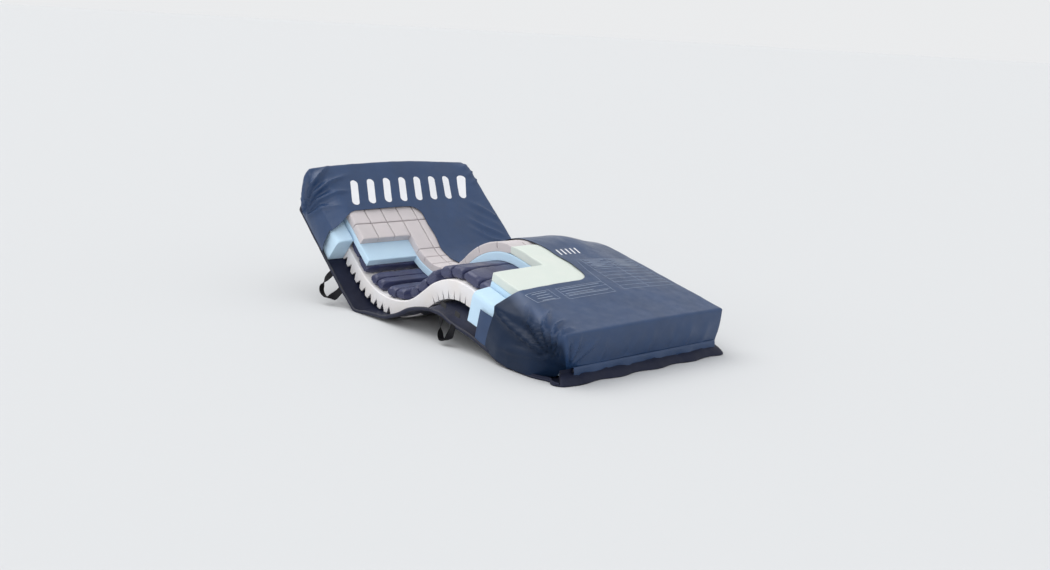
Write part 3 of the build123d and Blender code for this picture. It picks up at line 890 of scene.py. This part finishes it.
def sag(s, y):
    """How far the base cover and the hem over it hang below the stack along the open side."""
    at = (0.52, 0.60, 0.65, 0.72, 0.90, 1.02, 1.14, 1.23, 1.42, 1.74, 1.90, LENGTH)
    low = (0, 0.010, 0.026, 0.002, -0.015, 0.002, 0.026, 0.048, 0.052, 0.052, 0.020, 0)
    return np.interp(s, at, low) * (0.12 + 0.88 * smooth((-y - 0.26) / 0.16))


def near_bulge(s, y):
    """The near side of the foot end is puffed out at its bottom by this much."""
    along = smooth((s - WINDOW[1] + 0.05) / 0.12) * smooth((LENGTH - 0.02 - s) / 0.10)
    return along * smooth((-y - 0.38) / 0.06)


def cover_side(s, y, ns, ny, t, h0):
    near = np.clip(-ny, 0, 1) ** 2
    foot = np.clip(ns, 0, 1)
    head_part = s < LENGTH / 2
    foot_low = 0.006 - sag(s, y) * (1 - foot) + (ZIP_H - 0.016) * foot
    low = np.where(head_part, HEAD_HEM + 0.018 * (1 - near), foot_low)
    low = np.where(ny > 0.5, ZIP_H - 0.012, low)
    h = h0 + (low - h0) * t
    foot_slant = -0.012 * smooth((WINDOW[1] + 0.1 - s) / 0.1)
    slant = np.where(head_part, 0.034 * smooth((s - 0.12) / 0.14), foot_slant)
    flare = 0.006 * np.sin(math.pi * t) + 0.004 * foot * smooth((t - 0.75) / 0.25)
    flare = flare + 0.024 * near_bulge(s, y) * near * smooth(t * 1.2)
    flare = flare + 0.012 * near * head_part * t * smooth(s / 0.15)
    tuck = -0.002 * (1 - foot) * smooth((t - 0.8) / 0.2)
    return *pinched(s + ns * (flare + tuck) + slant * near * t, y + ny * (flare + tuck), h), h


END_LINES = (0.0, 0.0008, 0.003, 0.006, 0.010, 0.015, 0.021, 0.028, 0.036, 0.045)
near_end = [LENGTH - o for o in END_LINES]
fine = [*np.arange(0.048, 0.32, 0.0065), *np.arange(1.62, LENGTH - 0.048, 0.0065)]
cover_s = lines(0, LENGTH, 0.0095, middles + list(END_LINES) + near_end + fine)
side_lines = [k * (HALF - o) for k in (-1, 1) for o in (0.0, 0.0008, 0.003, 0.006, 0.010, 0.014)]
cover_y = lines(-HALF, HALF, 0.0095, side_lines + list(np.arange(-HALF + 0.02, -0.12, 0.0065)))


def sheet_facts(obj):
    """Does nothing with a cover's span. The cover's area is the mesh's own and its sides are made up to fit,
    not cut sizes.
    """


s, y, h, faces, u, v = shell(
    cover_s, cover_y, lambda s, y: np.minimum(plan(s, y), window(s, y)), cover_height, 16, cover_side,
)
bulge = far_bulge(s, y) * smooth((h - 0.045) / 0.09)
co = place(s, y + BULGE_OUT * bulge, h + BULGE_UP * bulge)
co = co + vertex_normals(co, faces) * cover_puff(u, v)[:, None]
co[:, 2] = np.maximum(co[:, 2], 0.0035)
emit("top_cover", s, co, faces, np.stack([u, v], -1), M["cover"], sheet_facts, CLOTH_T)


# ---------------------------------------------------------------- base cover

def base_height(s, y):
    ripple = 0.004 * np.sin(s * 26 + 0.6) * smooth((s - 0.62) / 0.1) * smooth((WINDOW[1] - s) / 0.1)
    return 0.002 - sag(s, y) + ripple * smooth((-y - 0.34) / 0.1)


def base_side(s, y, ns, ny, t, h0):
    opened = (s > 0.31) & (s < WINDOW[1]) & (ny < -0.5)
    under_hem = (s >= WINDOW[1]) & (ny < -0.5)
    foot = np.clip(ns, 0, 1)
    top = np.where(opened, h0 + 0.011, np.where(under_hem, h0 + 0.016, ZIP_H + 0.004))
    h = h0 + (top - h0) * t
    out = np.where(opened, 0.004 * np.sin(math.pi * t), -0.004 * smooth(t * 2))
    out = out + 0.020 * near_bulge(s, y) * np.clip(-ny, 0, 1)
    swell = np.sqrt(np.clip((0.034 - h) / 0.020, 0, 1))
    skirt = foot * (s > 1) * swell * (0.052 + 0.007 * np.sin(y * 31))
    return s + ns * (out + skirt), y + ny * (out + skirt), h


SKIRT_FOLDS = [(LENGTH + 0.06, y, LENGTH, y + 0.03, 0.012, h) for y, h in (
    (-0.36, 0.006), (-0.22, -0.005), (-0.10, 0.005), (0.05, -0.005), (0.19, 0.006), (0.33, -0.005),
)]
base_s = lines(0, LENGTH, 0.014, middles + list(END_LINES) + near_end)
base_y = lines(-HALF, HALF, 0.014, side_lines)
s, y, h, faces, u, v = shell(base_s, base_y, plan, base_height, 12, base_side)
co = place(s, y, h)
co = co + vertex_normals(co, faces) * (0.0012 * noise(u * 4, v * 4, 31) + folds(u, v, SKIRT_FOLDS))[:, None]
co[:, 2] = np.maximum(co[:, 2], 0.001)
emit("base_cover", s, co, faces, np.stack([u, v], -1), M["base"], sheet_facts, CLOTH_T)


# ---------------------------------------------------------------- trims along the outline

def outline(q):
    """Walks the outline seen from above: q grows from the near side towards the foot, then to the far side.

    q = 0 is the foot's near corner before its rounding. Returns s, y and the outward direction.
    """
    arc1, arc2 = NEAR_R * math.pi / 2, FAR_R * math.pi / 2
    straight = WIDTH - NEAR_R - FAR_R
    q = np.asarray(q, float)
    a1 = np.clip(q / arc1, 0, 1) * math.pi / 2
    a2 = np.clip((q - arc1 - straight) / arc2, 0, 1) * math.pi / 2
    across, after = np.clip(q - arc1, 0, straight), np.maximum(q - arc1 - straight - arc2, 0)
    s = LENGTH - NEAR_R + np.minimum(q, 0) + NEAR_R * np.sin(a1) - FAR_R * (1 - np.cos(a2)) - after
    y = -HALF + NEAR_R * (1 - np.cos(a1)) + across + FAR_R * np.sin(a2)
    ns = np.sin(a1) * np.cos(a2)
    ny = -np.cos(a1) + np.sin(a2)
    return s, y, ns, ny


FOOT_TURN = (NEAR_R + FAR_R) * (math.pi / 2 - 1) + WIDTH


def ribbon(name, qs, section, mirror, mat):
    """A strip along the outline; section(q) is a closed list of (outward offset, h)."""
    s, y, ns, ny = outline(qs)
    rings = []
    for k, q in enumerate(qs):
        out, h = np.array(section(q)).T
        ss, yy = s[k] + ns[k] * out, y[k] + ny[k] * out
        if mirror:
            ss = LENGTH - ss
        rings.append(place(ss, yy, h))
    n = len(rings[0])
    co = np.concatenate(rings)
    faces = capped(tube_faces(len(qs), n), len(qs), n)
    if mirror:
        faces = [f[::-1] for f in faces]
    around = np.tile(np.arange(n) * 0.006, len(qs))
    uv = np.stack([np.repeat(qs, n), around], -1)
    return new_object(name, co, [f[::-1] for f in faces], uv, -vertex_normals(co, faces), mat)


def flap_section(q):
    """Rain flap: sewn on above the zip, standing away at its lower edge."""
    wave = 0.0022 * math.sin(q * 37) + 0.0015 * math.sin(q * 71 + 1)
    out = 0.017 + wave
    low = ZIP_H - 0.022 + 0.5 * wave
    return [(0.0072, ZIP_H + 0.013), (0.012, ZIP_H + 0.004), (out, low), (out - 0.0018, low - 0.0012),
            (0.0095, ZIP_H + 0.0025), (0.0050, ZIP_H + 0.012)]


TOOTH_PITCH = 0.0016


def chain_section(q):
    """Zip teeth: every other ring stands out a little."""
    tooth = 0.0007 if int(round(q / TOOTH_PITCH)) % 2 else 0.0
    return [(0.004, ZIP_H + 0.004), (0.0092 + tooth, ZIP_H + 0.001), (0.0100 + tooth, ZIP_H - 0.002),
            (0.0092 + tooth, ZIP_H - 0.005), (0.004, ZIP_H - 0.008)]


for place_name, body, start in (("foot", "calf", 0.085), ("head", "back", 0.03)):
    at_head = place_name == "head"
    end = FOOT_TURN - 0.02
    flap = ribbon(f"zip_flap_{place_name}", np.arange(start, end, 0.006), flap_section, at_head, M["cover"])
    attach(flap, body)
    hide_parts(f"zip_band_{place_name}")
    tooth_s = np.arange(start, end, TOOTH_PITCH)
    teeth = ribbon(f"zip_chain_{place_name}", tooth_s, chain_section, at_head, M["trim"])
    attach(teeth, body)


def bead(name, low, high, mat, radius=0.0035):
    """Piping along the open near edge of the base cover."""
    ss = lines(low, high, 0.008, [c for c in middles if low < c < high])
    around = 8
    turns = np.linspace(0, 2 * math.pi, around, endpoint=False)
    base = base_height(ss, np.full_like(ss, -HALF))
    S = np.repeat(ss, around)
    Y = -HALF - 0.001 + radius * np.tile(np.cos(turns), len(ss))
    H = np.repeat(base + 0.011, around) + radius * np.tile(np.sin(turns), len(ss))
    co = place(S, Y, H)
    faces = [face[::-1] for face in tube_faces(len(ss), around)]
    emit(name, S, co, faces, np.stack([S, Y + H], -1), mat)


bead("edge_piping", 0.30, WINDOW[1], M["trim"])


def side_flap():
    """Upright piece of the base cover's side that stands in front of the near foot bolster."""
    us, rise = np.linspace(S_CALF + 0.243, WINDOW[1] + 0.04, 26), np.linspace(0, 1, 14)
    U, T = np.meshgrid(us, rise, indexing="ij")
    low = 0.003 - sag(U, -HALF)
    H = low + (0.087 - low) * T
    lean = 0.0015 * np.sin(U * 60) * T
    co = place(U, -HALF - 0.001 + lean, H).reshape(-1, 3)
    n = len(rise)
    faces = [[i * n + j, (i + 1) * n + j, (i + 1) * n + j + 1, i * n + j + 1]
             for i in range(len(us) - 1) for j in range(n - 1)]
    uv = np.stack([U, H], -1).reshape(-1, 2)
    obj = new_object("side_flap", *thicken(co, faces, uv, vertex_normals(co, faces), CLOTH_T), M["cover"])
    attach(obj, "calf")


side_flap()


# ---------------------------------------------------------------- handles

WEB_W, WEB_T, SPAN, OUT, HINGE_H = 0.030, 0.0025, 0.110, 0.004, 0.005
HELD_OUT = math.radians(20)


def handle(name, s_mid, side, length, lift, start=0.0):
    """Webbing loop: both ends lie flat on the side, and the strap twists to stand edge-on at the bottom.

    length is how far it reaches below the base, start is how far below it the ends are sewn, and lift is
    how far it's turned out about its sewn edge.
    """
    count = 61
    t = np.linspace(0, math.pi, count)
    corners = [
        (-0.5, -0.35), (-0.42, -0.5), (0.42, -0.5), (0.5, -0.35),
        (0.5, 0.35), (0.42, 0.5), (-0.42, 0.5), (-0.5, 0.35),
    ]
    half, drop = SPAN / 2 - 0.010, length - WEB_T / 2
    s = -half * np.cos(t) * (1 + 0.10 * np.sin(t) ** 2)
    top = 0.003 - start
    h = top - (drop + top) * np.sin(t) ** 0.8
    slope = np.stack([np.gradient(s), np.gradient(h)], -1)
    slope /= np.linalg.norm(slope, axis=1)[:, None]
    twist = math.pi / 2 * smooth(1.25 * np.sin(t) ** 1.5)
    out = 0.0042 + (OUT + 0.15 * WEB_W - 0.0042) * smooth(np.sin(t))
    S, Y, H = [], [], []
    for w, d in corners:
        flat = w * WEB_W * np.cos(twist) - d * WEB_T * np.sin(twist)
        S.append(s - slope[:, 1] * flat)
        H.append(h + slope[:, 0] * flat)
        Y.append(out + w * WEB_W * np.sin(twist) + d * WEB_T * np.cos(twist))
    S, Y, H = (np.stack(a, 1).ravel() for a in (S, Y, H))
    dy, dh = Y - OUT, H - HINGE_H
    Y = OUT + dy * math.cos(lift) - dh * math.sin(lift)
    H = HINGE_H + dh * math.cos(lift) + dy * math.sin(lift)
    co = place(s_mid + S, side * (HALF + Y), H)
    n = len(corners)
    faces = capped(tube_faces(count, n), count, n)
    if side > 0:
        faces = [f[::-1] for f in faces]
    uv = np.stack([np.repeat(t * 0.08, n), np.tile([p[0] * WEB_W for p in corners], count)], -1)
    obj = new_object(name, co, faces, uv, vertex_normals(co, faces), M["web_strap"])
    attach(obj, name)
    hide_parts(name)


NEAR_LOOPS = (("back", S_BACK_END - 0.060, 0.084, HELD_OUT, 0.0), ("calf", S_CALF + 0.066, 0.130, 0.0, 0.046))
for body, s_mid, length, lift, start in NEAR_LOOPS:
    handle(f"handle_near_{body}", s_mid, -1, length, lift, start)
    handle(f"handle_far_{body}", s_mid, 1, 0.092, 0.0)


# ---------------------------------------------------------------- CAD pieces that stay as they are

for node, mat in (("handle_patches_back", "web"), ("handle_patches_calf", "web"), ("corner_strap", "web"),
                  ("zip_slider", "metal"), ("foot_end_block", "block")):
    obj = frame["nodes"][node]
    for item in obj.material_slots:
        item.material = M[mat]


# ---------------------------------------------------------------- prints on the cover

PRINT_LIFT = 0.0007


def on_cover(name, points, faces, mat, body):
    """A thin print that follows the cover's surface."""
    s, y = points[:, 0], points[:, 1]
    step = 0.002

    def at(s, y):
        bulge = far_bulge(s, y)
        return place(s, y + BULGE_OUT * bulge, cover_height(s, y) + BULGE_UP * bulge)

    base = at(s, y)
    ahead, aside = at(s + step, y) - base, at(s, y + step) - base
    normal = np.cross(ahead, aside)
    normal /= np.linalg.norm(normal, axis=1)[:, None]
    co = base + normal * (cover_puff(s, y) + PRINT_LIFT)[:, None]
    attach(new_object(name, co, faces, points, normal, mat), body)


def segment_distance(s, y, a, b):
    ds, dy = b[0] - a[0], b[1] - a[1]
    t = np.clip(((s - a[0]) * ds + (y - a[1]) * dy) / (ds * ds + dy * dy), 0, 1)
    return np.hypot(s - a[0] - t * ds, y - a[1] - t * dy)


def head_mark():
    """A band of plain slanted stripes at the head end."""
    stripes = [((0.220, -0.290 + 0.088 * i), (0.120, -0.255 + 0.088 * i)) for i in range(8)]

    def keep(s, y):
        best = np.full(np.broadcast(s, y).shape, 1.0)
        for a, b in stripes:
            best = np.minimum(best, segment_distance(s, y, a, b))
        return 0.018 - best

    points, faces = clip_grid(np.arange(0.09, 0.25, 0.004), np.arange(-0.33, 0.40, 0.004), keep)
    on_cover("head_mark", points, faces, M["print"], "back")


def rule(points, faces, a, b, width):
    """Adds a thin straight line to a print."""
    count = max(2, int(math.dist(a, b) / 0.012))
    ds, dy = b[0] - a[0], b[1] - a[1]
    n = math.hypot(ds, dy)
    ns, ny = -dy / n * width / 2, ds / n * width / 2
    first = len(points)
    for k in range(count + 1):
        t = k / count
        points += [(a[0] + t * ds - ns, a[1] + t * dy - ny), (a[0] + t * ds + ns, a[1] + t * dy + ny)]
    faces += [[first + 2 * k, first + 2 * k + 2, first + 2 * k + 3, first + 2 * k + 1] for k in range(count)]


def care_table(points, faces, s0, s1, y0, y1, columns, rows, width=0.0016):
    """A blank ruled table."""
    for i in range(columns + 1):
        y = y0 + (y1 - y0) * i / columns
        rule(points, faces, (s0, y), (s1, y), width)
    for i in range(rows + 1):
        s = s0 + (s1 - s0) * i / rows
        rule(points, faces, (s, y0), (s, y1), width)


def foot_print():
    points, faces = [], []
    care_table(points, faces, S_CALF + 0.185, S_CALF + 0.455, 0.105, 0.400, 2, 9)
    care_table(points, faces, S_CALF + 0.380, S_CALF + 0.465, -0.205, 0.045, 1, 3)
    care_table(points, faces, S_CALF + 0.378, S_CALF + 0.450, -0.355, -0.240, 1, 1)
    rule(points, faces, (S_CALF + 0.20, 0.078), (S_CALF + 0.380, 0.045), 0.0016)
    for i in range(7):
        s = S_CALF + 0.195 + 0.0105 * i
        rule(points, faces, (s, 0.120 + 0.02 * (i % 2)), (s, 0.235 - 0.03 * (i % 3)), 0.0026)
        rule(points, faces, (s, 0.265 + 0.01 * (i % 3)), (s, 0.385 - 0.025 * (i % 2)), 0.0026)
    for i in range(4):
        s = S_CALF + 0.390 + 0.018 * i
        rule(points, faces, (s, -0.190), (s, 0.020 - 0.03 * (i % 3)), 0.0026)
        rule(points, faces, (s, -0.335 + 0.01 * (i % 2)), (s, -0.260), 0.0030)
    on_cover("care_tables", np.array(points), faces, M["print_grey"], "calf")
    points, faces = [], []
    for i in range(5):
        rule(points, faces, (S_CALF + 0.122, 0.062 + 0.026 * i), (S_CALF + 0.072, 0.072 + 0.026 * i), 0.008)
    on_cover("foot_mark", np.array(points), faces, M["print"], "calf")


head_mark()
foot_print()


# ---------------------------------------------------------------- floor, light and camera

def floor():
    mesh = bpy.data.meshes.new("floor")
    size = 400.0
    corners = [(-size, -size, 0), (size, -size, 0), (size, size, 0), (-size, size, 0)]
    mesh.from_pydata(corners, [], [(0, 1, 2, 3)])
    obj = bpy.data.objects.new("floor", mesh)
    obj.location.z = -0.002
    bpy.context.scene.collection.objects.link(obj)
    mat, _, _ = shader("floor", (0.64, 0.65, 0.66), 0.9)
    mesh.materials.append(mat)


def sun(name, direction, strength, softness):
    """Even light from a wide, soft source that lies in that direction."""
    data = bpy.data.lights.new(name, "SUN")
    data.energy = strength
    data.angle = math.radians(softness)
    obj = bpy.data.objects.new(name, data)
    obj.rotation_euler = Vector(direction).to_track_quat("Z", "Y").to_euler()
    bpy.context.scene.collection.objects.link(obj)


def world(stops):
    """Studio surroundings whose brightness changes with height: stops are (sine of elevation, level)."""
    scene_world = bpy.data.worlds.new("studio")
    scene_world.use_nodes = True
    tree = scene_world.node_tree
    source = tree.nodes.new("ShaderNodeTexCoord")
    split = add_node(tree, "SeparateXYZ", Vector=source.outputs["Generated"])
    node = tree.nodes.new("ShaderNodeValToRGB")
    node.color_ramp.elements.remove(node.color_ramp.elements[1])
    for k, (position, value) in enumerate(stops):
        element = node.color_ramp.elements[0] if k == 0 else node.color_ramp.elements.new(position)
        element.position = position
        element.color = (value * 0.99, value, value * 1.012, 1)
    tree.links.new(split.outputs["Z"], node.inputs["Fac"])
    tree.links.new(node.outputs["Color"], tree.nodes["Background"].inputs["Color"])
    bpy.context.scene.world = scene_world


def camera(location, yaw, pitch, roll, focal_widths):
    """Looks along yaw (from -X towards +Y), down by pitch; the focal length is in picture widths."""
    forward = Vector((-math.cos(yaw) * math.cos(pitch), math.sin(yaw) * math.cos(pitch), -math.sin(pitch)))
    right = forward.cross(Vector((0, 0, 1))).normalized()
    up = right.cross(forward)
    tilted_right = right * math.cos(roll) + up * math.sin(roll)
    tilted_up = up * math.cos(roll) - right * math.sin(roll)
    data = bpy.data.cameras.new("camera")
    data.sensor_width = 36.0
    data.lens = focal_widths * 36.0
    obj = bpy.data.objects.new("camera", data)
    axes = Matrix((tilted_right, tilted_up, -forward)).transposed().to_4x4()
    obj.matrix_world = Matrix.Translation(location) @ axes
    bpy.context.scene.collection.objects.link(obj)
    bpy.context.scene.camera = obj


floor()
sun("key", (-0.45, -0.25, 0.86), 1.3, 50)
sun("fill", (0.45, -0.82, 0.35), 0.85, 60)
world([(0.0, 0.835), (0.09, 0.835), (0.18, 0.95), (0.34, 0.95), (0.5, 0.35), (0.65, 0.85)])
camera((4.117, -3.3635, 1.2387), 0.7417, 0.2074, 0.0570, 1.1536)
bpy.context.scene.view_settings.view_transform = "Standard"
